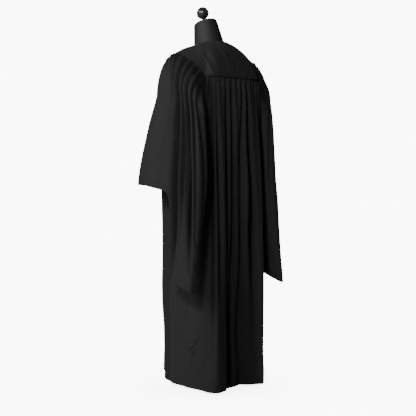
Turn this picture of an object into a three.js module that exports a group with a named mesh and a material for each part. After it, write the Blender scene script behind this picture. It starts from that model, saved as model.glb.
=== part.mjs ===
// A graduation gown on a limbless dress form: a yoke over the shoulders, a back gathered into it, two
// open fronts, and two open bell sleeves that are short in front and hang long behind.
// Millimetres, +Z up. The wearer faces -Y and has the left side at +X. The origin is the middle of the
// underside of the stand's foot. A turn runs once round a piece, from 0 at its front, through 0.25 at
// its +X side and 0.5 at its back.

import * as THREE from 'three';

// Cloth and seams
const clothThickness = 1.4;
const seamGap = 0.3;
const sleeveYokeGap = 0.5;
const sleeveArmholeGap = 1.3;

// The gown's main heights and places
const backSeamHeight = 1128;
const frontSeamHeight = 1160;
const underarmHeight = 930;
const frontCornerTurn = 0.14;
const backCornerTurn = 0.362;
const sideSeamTurn = 0.25;
const frontEdgeTurn = 0.019;
const sideMiddle = 12;
const foldGirth = 1040;
const hemBand = 90;

// The neck opening of the yoke
const necklineRadius = 66;
const necklineCentre = 3;
const necklineHeight = 1264;
const necklineFrontDrop = 36;

// How the yoke bends between the neckline and its edge: how far out and down the bend lies
const backBend = { out: 0.78, down: 0.27 };
const shoulderBend = { out: 0.6, down: 0.42 };
const shoulderTurn = 0.26;
const shoulderSpan = 0.13;

// The stand under the gown
const shoulderGap = 0.6;
const neckBaseRadius = 57;
const neckTopRadius = 44;
const neckTopCentre = [0, -22.6, 1339];
const neckLean = THREE.MathUtils.degToRad(20);
const neckEdgeRound = 3;
const ballRadius = 23;
const stemRadius = 5.5;
const stemLength = 18;
const poleRadius = 12.5;
const poleTop = 545;
const footRadius = 105;
const footThickness = 9;
const footBevel = 2;

// Sides of the round solids
const formSides = 44;
const finialSides = 20;
const ballSteps = 12;
const poleSides = 20;
const footSides = 40;

// The body of the gown in plan at each height: how far it reaches left, right, back and front
const bodySizes = [
  { height: 0, left: 127, right: 151, back: 162, front: -165, corner: 38 },
  { height: 300, left: 129, right: 151, back: 160, front: -163, corner: 38 },
  { height: 700, left: 134, right: 150, back: 157, front: -150, corner: 41 },
  { height: 930, left: 145, right: 147, back: 152, front: -126, corner: 52 },
  { height: 1095, left: 149, right: 149, back: 146, front: -111, corner: 58 },
  { height: 1128, left: 150, right: 150, back: 140, front: -108, corner: 60 },
  { height: 1160, left: 150, right: 150, back: 132, front: -105, corner: 60 },
];

// Valleys between the flutes: their turns and depths under the yoke, half way down and at the hem
const bodyFolds = [
  { top: 0.374, middle: 0.345, hem: 0.33, topDepth: 6, middleDepth: 8, hemDepth: 2, width: 11 },
  { top: 0.388, middle: 0.378, hem: 0.37, topDepth: 7, middleDepth: 22, hemDepth: 0, width: 12 },
  { top: 0.405, middle: 0.418, hem: 0.43, topDepth: 7, middleDepth: 16, hemDepth: 2, width: 11 },
  { top: 0.427, middle: 0.44, hem: 0.46, topDepth: 7, middleDepth: 3, hemDepth: 0, width: 10 },
  { top: 0.453, middle: 0.462, hem: 0.475, topDepth: 7, middleDepth: 16, hemDepth: 0, width: 11 },
  { top: 0.481, middle: 0.492, hem: 0.492, topDepth: 7, middleDepth: 19, hemDepth: 20, width: 11 },
  { top: 0.508, middle: 0.508, hem: 0.52, topDepth: 7, middleDepth: 2, hemDepth: 0, width: 10 },
  { top: 0.531, middle: 0.526, hem: 0.545, topDepth: 7, middleDepth: 18, hemDepth: 10, width: 11 },
  { top: 0.557, middle: 0.575, hem: 0.59, topDepth: 7, middleDepth: 20, hemDepth: 4, width: 12 },
  { top: 0.58, middle: 0.59, hem: 0.6, topDepth: 7, middleDepth: 2, hemDepth: 0, width: 10 },
  { top: 0.6, middle: 0.606, hem: 0.605, topDepth: 7, middleDepth: 5, hemDepth: 0, width: 10 },
  { top: 0.618, middle: 0.65, hem: 0.67, topDepth: 6, middleDepth: 10, hemDepth: 10, width: 13 },
  { top: 0.5, middle: 0.515, hem: 0.532, topDepth: 0, middleDepth: 0, hemDepth: 26, width: 36 },
  { top: 0.06, middle: 0.055, hem: 0.05, topDepth: 0, middleDepth: 7, hemDepth: 10, width: 15 },
  { top: 0.1, middle: 0.105, hem: 0.11, topDepth: 2, middleDepth: 9, hemDepth: 12, width: 16 },
  { top: 0.17, middle: 0.16, hem: 0.155, topDepth: 0, middleDepth: 6, hemDepth: 8, width: 16 },
  { top: 0.83, middle: 0.835, hem: 0.84, topDepth: 0, middleDepth: 7, hemDepth: 9, width: 16 },
  { top: 0.9, middle: 0.893, hem: 0.885, topDepth: 2, middleDepth: 8, hemDepth: 12, width: 15 },
  { top: 0.94, middle: 0.948, hem: 0.95, topDepth: 0, middleDepth: 6, hemDepth: 9, width: 15 },
];

// The hem's height round the body
const bodyHem = [
  { turn: 0, height: 46 },
  { turn: 0.11, height: 44 },
  { turn: 0.132, height: 18 },
  { turn: 0.25, height: 11 },
  { turn: 0.42, height: 7 },
  { turn: 0.6, height: 6 },
  { turn: 0.75, height: 8 },
  { turn: 0.88, height: 22 },
  { turn: 1, height: 40 },
];

// Where the yoke's armhole edge passes between its front and back corners, on the +X side
const shoulderEdge = [
  { x: 163, y: -47, z: 1191 },
  { x: 180, y: 14, z: 1212 },
  { x: 172, y: 72, z: 1190 },
  { x: 155, y: 101, z: 1163 },
];

// Each sleeve in plan at each height. The right one hangs closer to the body.
const leftSleeveSizes = [
  { height: 373, inner: 217, outer: 246, front: -195, back: 154, frontCorner: 12, backCorner: 12 },
  { height: 550, inner: 186, outer: 252, front: -122, back: 166, frontCorner: 20, backCorner: 29 },
  { height: 750, inner: 168, outer: 256, front: -122, back: 180, frontCorner: 20, backCorner: 30 },
  { height: 950, inner: 160, outer: 241, front: -84, back: 165, frontCorner: 28, backCorner: 32 },
  { height: 1050, inner: 156, outer: 226, front: -60, back: 138, frontCorner: 30, backCorner: 30 },
  { height: 1140, inner: 154, outer: 216, front: -42, back: 95, frontCorner: 28, backCorner: 28 },
];
const rightSleeveSizes = [
  { height: 373, inner: 217, outer: 244, front: -195, back: 157, frontCorner: 12, backCorner: 12 },
  { height: 550, inner: 188, outer: 237, front: -128, back: 153, frontCorner: 18, backCorner: 22 },
  { height: 750, inner: 170, outer: 233, front: -136, back: 142, frontCorner: 20, backCorner: 27 },
  { height: 950, inner: 160, outer: 229, front: -94, back: 132, frontCorner: 28, backCorner: 28 },
  { height: 1050, inner: 156, outer: 222, front: -66, back: 121, frontCorner: 28, backCorner: 28 },
  { height: 1140, inner: 154, outer: 214, front: -44, back: 92, frontCorner: 28, backCorner: 28 },
];

// The sleeve's lower edge: level in front, then steeply down the open edge and out to the tip behind
const sleeveHem = [
  { turn: 0, height: 747 },
  { turn: 0.13, height: 741 },
  { turn: 0.25, height: 727 },
  { turn: 0.283, height: 717 },
  { turn: 0.298, height: 685 },
  { turn: 0.306, height: 620 },
  { turn: 0.314, height: 418 },
  { turn: 0.4, height: 398 },
  { turn: 0.5, height: 374 },
];

// Valleys of the sleeve: turn and depth near the head, half way down and near the tip. Those of the
// right sleeve are shallower by a share.
const rightFoldShare = 0.65;
const sleeveFolds = [
  { top: 0.1, middle: 0.1, tip: 0.1, topDepth: 0, middleDepth: 3, tipDepth: 6, width: 26 },
  { top: 0.185, middle: 0.185, tip: 0.185, topDepth: 4, middleDepth: 0, tipDepth: 0, width: 7 },
  { top: 0.21, middle: 0.21, tip: 0.21, topDepth: 5, middleDepth: 0, tipDepth: 0, width: 7 },
  { top: 0.235, middle: 0.236, tip: 0.24, topDepth: 6, middleDepth: 2, tipDepth: 0, width: 7 },
  { top: 0.27, middle: 0.235, tip: 0.23, topDepth: 8, middleDepth: 4, tipDepth: 0, width: 9 },
  { top: 0.295, middle: 0.295, tip: 0.295, topDepth: 6, middleDepth: 0, tipDepth: 0, width: 8 },
  { top: 0.319, middle: 0.335, tip: 0.345, topDepth: 10, middleDepth: 20, tipDepth: 6, width: 12 },
  { top: 0.343, middle: 0.345, tip: 0.35, topDepth: 6, middleDepth: 0, tipDepth: 0, width: 7 },
  { top: 0.362, middle: 0.36, tip: 0.36, topDepth: 5, middleDepth: 0, tipDepth: 0, width: 7 },
  { top: 0.385, middle: 0.387, tip: 0.39, topDepth: 6, middleDepth: 0, tipDepth: 0, width: 7 },
  { top: 0.408, middle: 0.425, tip: 0.478, topDepth: 9, middleDepth: 18, tipDepth: 3, width: 12 },
  { top: 0.432, middle: 0.435, tip: 0.44, topDepth: 5, middleDepth: 0, tipDepth: 0, width: 7 },
  { top: 0.455, middle: 0.47, tip: 0.5, topDepth: 6, middleDepth: 6, tipDepth: 0, width: 9 },
  { top: 0.481, middle: 0.53, tip: 0.545, topDepth: 8, middleDepth: 8, tipDepth: 3, width: 10 },
  { top: 0.6, middle: 0.61, tip: 0.62, topDepth: 3, middleDepth: 10, tipDepth: 5, width: 16 },
  { top: 0.72, middle: 0.71, tip: 0.7, topDepth: 0, middleDepth: 7, tipDepth: 3, width: 18 },
  { top: 0.85, middle: 0.86, tip: 0.87, topDepth: 0, middleDepth: 6, tipDepth: 6, width: 20 },
];

// The form under the gown in plan at each height
const torsoSizes = [
  { height: 1062, side: 141, back: 110, front: -86, corner: 62 },
  { height: 985, side: 133, back: 107, front: -90, corner: 66 },
  { height: 890, side: 118, back: 92, front: -80, corner: 68 },
  { height: 800, side: 107, back: 84, front: -72, corner: 66 },
  { height: 700, side: 112, back: 94, front: -78, corner: 68 },
  { height: 615, side: 114, back: 97, front: -84, corner: 68 },
  { height: 560, side: 106, back: 90, front: -80, corner: 64 },
  { height: poleTop + seamGap, side: 84, back: 70, front: -62, corner: 52 },
];

const finishes = {
  cloth: new THREE.MeshStandardMaterial({ color: 0x1b1b1d, roughness: 0.85, metalness: 0 }),
  form: new THREE.MeshStandardMaterial({ color: 0x26262a, roughness: 0.9, metalness: 0 }),
  lacquer: new THREE.MeshStandardMaterial({ color: 0x121214, roughness: 0.35, metalness: 0 }),
  gloss: new THREE.MeshStandardMaterial({ color: 0x0b0b0d, roughness: 0.12, metalness: 0 }),
  steel: new THREE.MeshStandardMaterial({ color: 0x3a3a3d, roughness: 0.4, metalness: 0.8 }),
};

const gown = new THREE.Group();
const { lerp, clamp } = THREE.MathUtils;
const ease = (t) => THREE.MathUtils.smoothstep(t, 0, 1);

// A column of a table at a place between its rows, on a smooth curve through them
function readSmooth(rows, key, column, at) {
  const last = rows.length - 1;
  const place = clamp(at, rows[0][key], rows[last][key]);
  let i = 0;
  while (i < last - 1 && place > rows[i + 1][key]) i += 1;
  const slope = (k) => {
    const before = rows[Math.max(k - 1, 0)];
    const after = rows[Math.min(k + 1, last)];
    return (after[column] - before[column]) / (after[key] - before[key]);
  };
  const span = rows[i + 1][key] - rows[i][key];
  const t = (place - rows[i][key]) / span;
  const rise = rows[i + 1][column] - rows[i][column];
  const startSlope = slope(i) * span;
  const endSlope = slope(i + 1) * span;
  return rows[i][column] + startSlope * t + (3 * rise - 2 * startSlope - endSlope) * t * t
    + (startSlope + endSlope - 2 * rise) * t * t * t;
}

// A column of a table at a place between its rows, on straight lines
function readStraight(rows, key, column, at) {
  let i = 0;
  while (i < rows.length - 2 && at > rows[i + 1][key]) i += 1;
  const t = clamp((at - rows[i][key]) / (rows[i + 1][key] - rows[i][key]), 0, 1);
  return lerp(rows[i][column], rows[i + 1][column], t);
}

// A point and its outward direction on a rectangle with round corners, at a turn round it
function roundedRing(turn, toSide, toBack, toFront, backCorner, frontCorner) {
  const around = turn - Math.floor(turn);
  const atBack = around > 0.25 && around < 0.75;
  const corner = atBack ? backCorner : frontCorner;
  const depth = atBack ? toBack : toFront;
  const flat = toSide - corner;
  const bend = corner * Math.PI / 2;
  const quarter = flat + bend + depth - corner;
  const centre = atBack ? 0.5 : Math.round(around);
  const run = Math.abs(around - centre) * 4 * quarter;
  const handed = around < 0.5 ? 1 : -1;
  const facing = atBack ? 1 : -1;
  const angle = clamp((run - flat) / corner, 0, Math.PI / 2);
  const x = Math.min(run, flat) + corner * Math.sin(angle);
  const y = depth - corner + corner * Math.cos(angle) - Math.max(run - flat - bend, 0);
  return { x: handed * x, y: facing * y, nx: handed * Math.sin(angle), ny: facing * Math.cos(angle) };
}

// How deep the valleys of a fold table are at a turn, with the folds' places and depths already read
function valleyDepth(folds, turn, girth, placeOf, depthOf) {
  return folds.reduce((sum, fold) => {
    const away = (turn - placeOf(fold)) * girth / fold.width;
    return sum + depthOf(fold) * Math.exp(-away * away);
  }, 0);
}

// Three columns of a fold, at its lower end, middle and top, joined smoothly by height
function byHeight(height, heights, fold, columns) {
  const rows = heights.map((at, i) => ({ at, value: fold[columns[i]] }));
  return readSmooth(rows, 'at', 'value', height);
}

// The body of the gown, outside of the cloth
const bodyFoldHeights = [0, 650, backSeamHeight];
const foldStart = 28;
const foldAtSeam = 0.35;
const armholeFade = 0.018;

function armholeTurn(height, front) {
  const top = front ? frontSeamHeight : backSeamHeight;
  const reach = front ? sideSeamTurn - frontCornerTurn : backCornerTurn - sideSeamTurn;
  const up = clamp((top - height) / (top - underarmHeight), 0, 1);
  return sideSeamTurn + (front ? -1 : 1) * reach * Math.sqrt(1 - up * up);
}

function bodyFoldDepth(turn, height) {
  const place = (fold) => byHeight(height, bodyFoldHeights, fold, ['hem', 'middle', 'top']);
  const depth = (fold) => byHeight(height, bodyFoldHeights, fold, ['hemDepth', 'middleDepth', 'topDepth']);
  const half = turn < 0.5 ? turn : 1 - turn;
  const front = half < sideSeamTurn;
  const seam = front ? frontSeamHeight : backSeamHeight;
  const grown = lerp(foldAtSeam, 1, ease((seam - height) / foldStart));
  const fromArmhole = Math.abs(half - armholeTurn(height, front)) / armholeFade;
  const clear = height > underarmHeight ? ease(fromArmhole) : 1;
  return Math.max(valleyDepth(bodyFolds, turn, foldGirth, place, depth), 0) * grown * clear;
}

// The body with its folds pressed in by a depth
function bodyRing(turn, height, depth) {
  const size = (column) => readSmooth(bodySizes, 'height', column, height);
  const side = turn < 0.5 ? size('left') : size('right');
  const corner = size('corner');
  const ring = roundedRing(turn, side, size('back') - sideMiddle, sideMiddle - size('front'), corner, corner);
  return new THREE.Vector3(ring.x - ring.nx * depth, ring.y + sideMiddle - ring.ny * depth, height);
}

const bodyPoint = (turn, height) => bodyRing(turn, height, bodyFoldDepth(turn, height));

// The yoke, outside of the cloth, from the neckline at 0 to its outer edge at 1
const shoulderShare = (half) => ease(1 - Math.abs(half - shoulderTurn) / shoulderSpan);
const halfTurn = (turn) => (turn < 0.5 ? turn : 1 - turn);

const shoulderCurve = new THREE.CatmullRomCurve3([
  bodyRing(frontCornerTurn, frontSeamHeight, 0),
  ...shoulderEdge.map((row) => new THREE.Vector3(row.x, row.y, row.z)),
  bodyRing(backCornerTurn, backSeamHeight, 0),
]);

function yokeEdge(turn) {
  const half = halfTurn(turn);
  const across = (half - frontCornerTurn) / (backCornerTurn - frontCornerTurn);
  let point;
  if (across <= 0) point = bodyRing(half, frontSeamHeight, 0);
  else if (across >= 1) point = bodyRing(half, backSeamHeight, 0);
  else point = shoulderCurve.getPoint(across);
  if (turn > 0.5) point.x = -point.x;
  return point;
}

function neckline(turn, radius = necklineRadius) {
  const angle = turn * 2 * Math.PI;
  const frontness = (1 + Math.cos(angle)) / 2;
  const height = necklineHeight - necklineFrontDrop * frontness * frontness;
  return new THREE.Vector3(radius * Math.sin(angle), necklineCentre - radius * Math.cos(angle), height);
}

function yokePoint(turn, reach) {
  const inner = neckline(turn);
  const outer = yokeEdge(turn);
  const share = shoulderShare(halfTurn(turn));
  const control = inner.clone().lerp(outer, lerp(backBend.out, shoulderBend.out, share));
  control.z = lerp(inner.z, outer.z, lerp(backBend.down, shoulderBend.down, share));
  const a = (1 - reach) * (1 - reach);
  const b = 2 * reach * (1 - reach);
  return inner.multiplyScalar(a).addScaledVector(control, b).addScaledVector(outer, reach * reach);
}

// The outward direction of a surface at a place on it
function surfaceNormal(surface, a, b, step = 1e-3) {
  const across = surface(a + step, b).sub(surface(a - step, b));
  const low = Math.max(b - step, 0);
  const high = Math.min(b + step, 1);
  const along = surface(a, high).sub(surface(a, low));
  return along.cross(across).normalize();
}

// A closed wall of cloth through a grid of outer points and the inner points beneath them
function clothWall(name, columns, rows, closed, outerAt, inwardAt, flip) {
  const perRow = columns.length;
  const points = [];
  for (const level of [0, 1]) {
    for (const row of rows) {
      for (const column of columns) {
        const point = outerAt(column, row);
        if (level) point.addScaledVector(inwardAt(column, row), clothThickness);
        points.push(point.x, point.y, point.z);
      }
    }
  }
  const index = (level, j, i) => (level * rows.length + j) * perRow + (i % perRow);
  const triangles = [];
  const quad = (a, b, c, d) => triangles.push(a, b, c, a, c, d);
  const lastColumn = closed ? perRow : perRow - 1;
  for (let i = 0; i < lastColumn; i += 1) {
    for (let j = 0; j < rows.length - 1; j += 1) {
      quad(index(0, j, i), index(0, j + 1, i), index(0, j + 1, i + 1), index(0, j, i + 1));
      quad(index(1, j, i), index(1, j, i + 1), index(1, j + 1, i + 1), index(1, j + 1, i));
    }
    const end = rows.length - 1;
    quad(index(0, 0, i), index(0, 0, i + 1), index(1, 0, i + 1), index(1, 0, i));
    quad(index(0, end, i), index(1, end, i), index(1, end, i + 1), index(0, end, i + 1));
  }
  if (!closed) {
    const end = perRow - 1;
    for (let j = 0; j < rows.length - 1; j += 1) {
      quad(index(0, j, 0), index(1, j, 0), index(1, j + 1, 0), index(0, j + 1, 0));
      quad(index(0, j, end), index(0, j + 1, end), index(1, j + 1, end), index(1, j, end));
    }
  }
  if (flip) triangles.reverse();
  addSolid(name, points, triangles, finishes.cloth);
}

function addSolid(name, points, triangles, finish) {
  const geometry = new THREE.BufferGeometry();
  geometry.setAttribute('position', new THREE.Float32BufferAttribute(points, 3));
  geometry.setIndex(triangles);
  geometry.computeVertexNormals();
  const mesh = new THREE.Mesh(geometry, finish);
  mesh.name = name;
  gown.add(mesh);
}

// A closed solid through rings of equal count, from its lowest ring to its highest
function loft(name, rings, finish) {
  const count = rings[0].length;
  const points = rings.flat().flatMap((p) => [p.x, p.y, p.z]);
  const triangles = [];
  for (let j = 0; j < rings.length - 1; j += 1) {
    for (let i = 0; i < count; i += 1) {
      const next = (i + 1) % count;
      const [a, b] = [j * count + i, j * count + next];
      triangles.push(a, b, a + count, b, b + count, a + count);
    }
  }
  const close = (ring, start, up) => {
    const middle = ring.reduce((sum, p) => sum.add(p), new THREE.Vector3()).divideScalar(count);
    const centre = points.push(middle.x, middle.y, middle.z) / 3 - 1;
    for (let i = 0; i < count; i += 1) {
      const next = (i + 1) % count;
      triangles.push(centre, start + (up ? i : next), start + (up ? next : i));
    }
  };
  close(rings[0], 0, false);
  close(rings[rings.length - 1], (rings.length - 1) * count, true);
  addSolid(name, points, triangles, finish);
}

// Even steps from one value to another
const steps = (from, to, count) => Array.from({ length: count + 1 }, (_, i) => lerp(from, to, i / count));

// The yoke, open at the centre front. Its rims are level where the back and the fronts join it.
const yokeRows = steps(0, 1, 5);
const lastYokeRow = yokeRows[yokeRows.length - 2];
const levelBelow = 1168;
const levelRange = 18;

function yokeInward(turn, reach) {
  const inward = surfaceNormal(yokePoint, turn, reach).negate();
  if (reach === 1) {
    const edge = yokeEdge(turn);
    inward.z *= ease((edge.z - levelBelow) / levelRange);
  }
  return inward.normalize();
}

const formColumns = steps(0, 1, formSides).slice(0, -1);
const betweenEdges = formColumns.filter((turn) => turn > frontEdgeTurn && turn < 1 - frontEdgeTurn);
const yokeColumns = [frontEdgeTurn, ...betweenEdges, 1 - frontEdgeTurn];
clothWall('yoke', yokeColumns, yokeRows, false, yokePoint, yokeInward, false);

// The back and the fronts. Each row runs level from one edge of the piece to the other, and the lowest
// rows bend to the hem.
function panelHeight(turn, fall, seam) {
  const level = lerp(seam - seamGap, 0, fall);
  const hem = readSmooth(bodyHem, 'turn', 'height', turn);
  const low = ease((hemBand - level) / hemBand);
  return Math.max(lerp(level, hem, low), hem);
}

// A column keeps its turn in the middle of a piece. Nearer the side it spreads from the armhole's edge to
// the side seam as the armhole narrows.
const spreadStart = 0.12;

function panel(name, columns, falls, seam, edgeAt) {
  const seamShare = Math.abs(edgeAt(0) - columns.centre);
  const place = (away, fall) => {
    const distance = Math.abs(away);
    const edge = Math.abs(edgeAt(lerp(seam, 0, fall)) - columns.centre);
    const spread = lerp(spreadStart, edge, (distance - spreadStart) / (seamShare - spreadStart));
    return columns.centre + Math.sign(away) * (distance > spreadStart ? spread : distance);
  };
  const outerAt = (away, fall) => {
    const turn = place(away, fall);
    return bodyPoint(turn, panelHeight(turn, fall, seam));
  };
  const inwardAt = (away, fall) => {
    const inward = surfaceNormal(outerAt, away, fall).negate();
    if (fall === 0 || fall === 1) inward.z = 0;
    return inward.normalize();
  };
  clothWall(name, columns.away, falls, false, outerAt, inwardAt, false);
}

const sideSeamHalf = seamGap / 2 / foldGirth;
const backFalls = [0, 0.014, 0.03, 0.06, 0.1, 0.14, 0.17, 0.2, 0.3, 0.44, 0.6, 0.77, 0.93, 1];
const backReach = 0.5 - sideSeamTurn - sideSeamHalf;
const backHalf = [...steps(0, spreadStart, 27), ...steps(spreadStart, backReach, 10).slice(1)];
const backAway = [...backHalf.slice(1).map((away) => -away).reverse(), ...backHalf];
const backEdge = (height) => armholeTurn(height, false) + sideSeamHalf;
panel('back_panel', { centre: 0.5, away: backAway }, backFalls, backSeamHeight, backEdge);

const frontFalls = [0, 0.05, 0.1, 0.145, 0.178, 0.2, 0.28, 0.42, 0.58, 0.75, 0.92, 1];
const frontReach = sideSeamTurn - sideSeamHalf;
const frontHalf = [...steps(frontEdgeTurn, spreadStart, 10), ...steps(spreadStart, frontReach, 7).slice(1)];
const leftEdge = (height) => armholeTurn(height, true) - sideSeamHalf;
const rightEdge = (height) => 1 - leftEdge(height);
const rightAway = frontHalf.map((away) => -away).reverse();
panel('left_front', { centre: 0, away: frontHalf }, frontFalls, frontSeamHeight, leftEdge);
panel('right_front', { centre: 1, away: rightAway }, frontFalls, frontSeamHeight, rightEdge);

// The armhole on the +X side: over the shoulder along the yoke, down the back, under the arm and up
// the front. Turns go from the front of the sleeve over its outer side to the back.
const headCorners = { front: 0.06, back: 0.45, under: 0.75 };

function armhole(turn, side) {
  const around = turn < headCorners.front ? turn + 1 : turn;
  if (around <= headCorners.back) {
    const along = (around - headCorners.front) / (headCorners.back - headCorners.front);
    const yokeTurn = lerp(frontCornerTurn, backCornerTurn, along);
    return { point: yokeEdge(yokeTurn), outward: surfaceNormal(yokePoint, yokeTurn, 1), lap: 1 };
  }
  const front = around > headCorners.under;
  const seam = front ? frontSeamHeight : backSeamHeight;
  const far = front ? 1 + headCorners.front : headCorners.back;
  const angle = (around - headCorners.under) / (far - headCorners.under) * Math.PI / 2;
  const height = lerp(underarmHeight, seam, 1 - Math.cos(angle));
  const edgeTurn = armholeTurn(height, front);
  const point = bodyPoint(side > 0 ? edgeTurn : 1 - edgeTurn, height);
  point.x = Math.abs(point.x);
  const outward = point.clone().sub(new THREE.Vector3(0, sideMiddle, height)).normalize();
  return { point, outward, lap: 0 };
}

// The sleeve, outside of the cloth. It leaves the armhole outwards and bends down into its rings.
const headShare = 0.3;
const headBulge = 0.9;
const underarmDrop = 48;
const shoulderDrop = 92;
const foldLift = 0.25;
const sleeveFoldHeights = [420, 830, 1120];
const sleeveGirth = 680;
const headRise = 26;

function sleeveRing(turn, height, side) {
  const sizes = side > 0 ? leftSleeveSizes : rightSleeveSizes;
  const size = (column) => readSmooth(sizes, 'height', column, height);
  const [inner, outer, front, back] = ['inner', 'outer', 'front', 'back'].map(size);
  const middle = (front + back) / 2;
  const reach = (back - front) / 2;
  const ring = roundedRing(turn, (outer - inner) / 2, reach, reach, size('backCorner'), size('frontCorner'));
  return { ...ring, x: ring.x + (inner + outer) / 2, y: ring.y + middle };
}

function sleeveFoldDepth(turn, height, side) {
  const place = (fold) => byHeight(height, sleeveFoldHeights, fold, ['tip', 'middle', 'top']);
  const depth = (fold) => byHeight(height, sleeveFoldHeights, fold, ['tipDepth', 'middleDepth', 'topDepth']);
  const share = side > 0 ? 1 : rightFoldShare;
  return Math.max(valleyDepth(sleeveFolds, turn, sleeveGirth, place, depth), 0) * share;
}

function sleevePoint(turn, fall, side) {
  const around = turn - Math.floor(turn);
  const { point, outward, lap } = armhole(around, side);
  const head = point.addScaledVector(outward, lap ? clothThickness + sleeveYokeGap : sleeveArmholeGap);
  const rise = (head.z - underarmHeight) / (shoulderEdge[1].z - underarmHeight);
  const drop = lerp(underarmDrop, shoulderDrop, ease(rise));
  const bendHeight = head.z - drop;
  const hem = readStraight(sleeveHem, 'turn', 'height', around < 0.5 ? around : 1 - around);
  const below = clamp((fall - headShare) / (1 - headShare), 0, 1);
  const height = fall < headShare ? bendHeight : lerp(bendHeight, hem, below);
  const ring = sleeveRing(around, height, side);
  const angle = Math.min(fall / headShare, 1) * Math.PI / 2;
  const out = Math.sin(angle) ** headBulge;
  const down = fall < headShare ? lerp(head.z, bendHeight, 1 - Math.cos(angle)) : height;
  const grown = ease(fall / headShare * drop / headRise);
  const depth = sleeveFoldDepth(around, down, side) * grown;
  const x = lerp(head.x, ring.x, out) - ring.nx * depth;
  const y = lerp(head.y, ring.y, out) - ring.ny * depth;
  return new THREE.Vector3(x, y, down + depth * foldLift * (1 - out));
}

const sleeveColumns = [
  ...steps(0, 0.17, 7), ...steps(0.17, 0.27, 12).slice(1), ...steps(0.27, 0.33, 10).slice(1),
  ...steps(0.33, 0.5, 19).slice(1), ...steps(0.5, 0.67, 10).slice(1), ...steps(0.67, 0.73, 6).slice(1),
  ...steps(0.73, 1, 13).slice(1, -1),
];
const sleeveRows = [0, 0.06, 0.13, 0.21, 0.3, 0.39, 0.5, 0.61, 0.72, 0.83, 0.92, 1];

for (const [name, side] of [['left_sleeve', 1], ['right_sleeve', -1]]) {
  const outerAt = (turn, fall) => sleevePoint(turn, fall, side).multiply(new THREE.Vector3(side, 1, 1));
  const inwardAt = (turn, fall) => surfaceNormal(outerAt, turn, fall).multiplyScalar(-side);
  clothWall(name, sleeveColumns, sleeveRows, true, outerAt, inwardAt, side < 0);
}

// The form: its shoulders lie just under the yoke, and below them it narrows to the waist
const looseGap = 11;
const edgeGap = 3;

function formShoulder(turn, reach) {
  const share = shoulderShare(halfTurn(turn));
  const atEdge = edgeGap * ease((reach - lastYokeRow) / (1 - lastYokeRow));
  const gap = clothThickness + shoulderGap + looseGap * reach * (1 - share) + atEdge;
  return yokePoint(turn, reach).addScaledVector(surfaceNormal(yokePoint, turn, reach), -gap);
}

function torsoRing(size) {
  return formColumns.map((turn) => {
    const ring = roundedRing(turn, size.side, size.back, -size.front, size.corner, size.corner);
    return new THREE.Vector3(ring.x, ring.y, size.height);
  });
}

const neckSink = 8;
const neckRing = (lift) => formColumns.map((turn) => {
  const point = neckline(turn, neckBaseRadius);
  point.y -= necklineCentre;
  point.z += lift - neckSink;
  return point;
});
const shoulderRing = (reach) => formColumns.map((turn) => formShoulder(turn, reach));
const shoulderRings = yokeRows.toReversed().map(shoulderRing);
loft('form_torso', [...torsoSizes.map(torsoRing).reverse(), ...shoulderRings, neckRing(0)], finishes.form);

// The neck leans forward with the form, and carries the finial
const neckAxis = new THREE.Vector3(0, -Math.sin(neckLean), Math.cos(neckLean));
const neckTop = new THREE.Vector3(...neckTopCentre);

function tiltedRing(radius, sink) {
  const centre = neckTop.clone().addScaledVector(neckAxis, -sink);
  return formColumns.map((turn) => {
    const angle = turn * 2 * Math.PI;
    const across = new THREE.Vector3(radius * Math.sin(angle), -radius * Math.cos(angle), 0);
    return across.applyAxisAngle(new THREE.Vector3(1, 0, 0), neckLean).add(centre);
  });
}

const roundedOff = neckEdgeRound * (1 - Math.SQRT1_2);
const neckRings = [
  neckRing(seamGap), tiltedRing(neckTopRadius, neckEdgeRound),
  tiltedRing(neckTopRadius - roundedOff, roundedOff), tiltedRing(neckTopRadius - neckEdgeRound, 0),
];
loft('neck_cap', neckRings, finishes.lacquer);

const ballHeight = stemLength + ballRadius;
const ballStart = Math.asin(stemRadius / ballRadius);
const stemBase = [{ radius: 0, height: 0 }, { radius: 9, height: 0 }, { radius: 8, height: 2.5 }];
const stemProfile = [...stemBase, { radius: stemRadius, height: 5 }];
const ballProfile = steps(Math.PI - ballStart, 0, ballSteps).map((angle) =>
  new THREE.Vector2(Math.max(ballRadius * Math.sin(angle), 0), ballHeight + ballRadius * Math.cos(angle)));
ballProfile[ballProfile.length - 1].x = 0;
const stemPoints = stemProfile.map((row) => new THREE.Vector2(row.radius, row.height));
const finialProfile = [...stemPoints, ...ballProfile];
const finial = new THREE.Mesh(new THREE.LatheGeometry(finialProfile, finialSides), finishes.gloss);
finial.name = 'finial';
finial.rotation.x = Math.PI / 2 + neckLean;
finial.position.copy(neckTop).addScaledVector(neckAxis, seamGap);
gown.add(finial);

// The pole stands on the foot
const poleLength = poleTop - footThickness - seamGap;
const poleShape = new THREE.CylinderGeometry(poleRadius, poleRadius, poleLength, poleSides);
const pole = new THREE.Mesh(poleShape, finishes.steel);
pole.name = 'pole';
pole.rotation.x = Math.PI / 2;
pole.position.z = (poleTop + footThickness + seamGap) / 2;
gown.add(pole);

const footShape = new THREE.CylinderGeometry(footRadius - footBevel, footRadius, footThickness, footSides);
const foot = new THREE.Mesh(footShape, finishes.steel);
foot.name = 'foot';
foot.rotation.x = Math.PI / 2;
foot.position.z = footThickness / 2;
gown.add(foot);

export default gown;
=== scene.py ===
import math
from functools import lru_cache

import bmesh
import bpy
from mathutils import Matrix, Vector, noise


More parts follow.
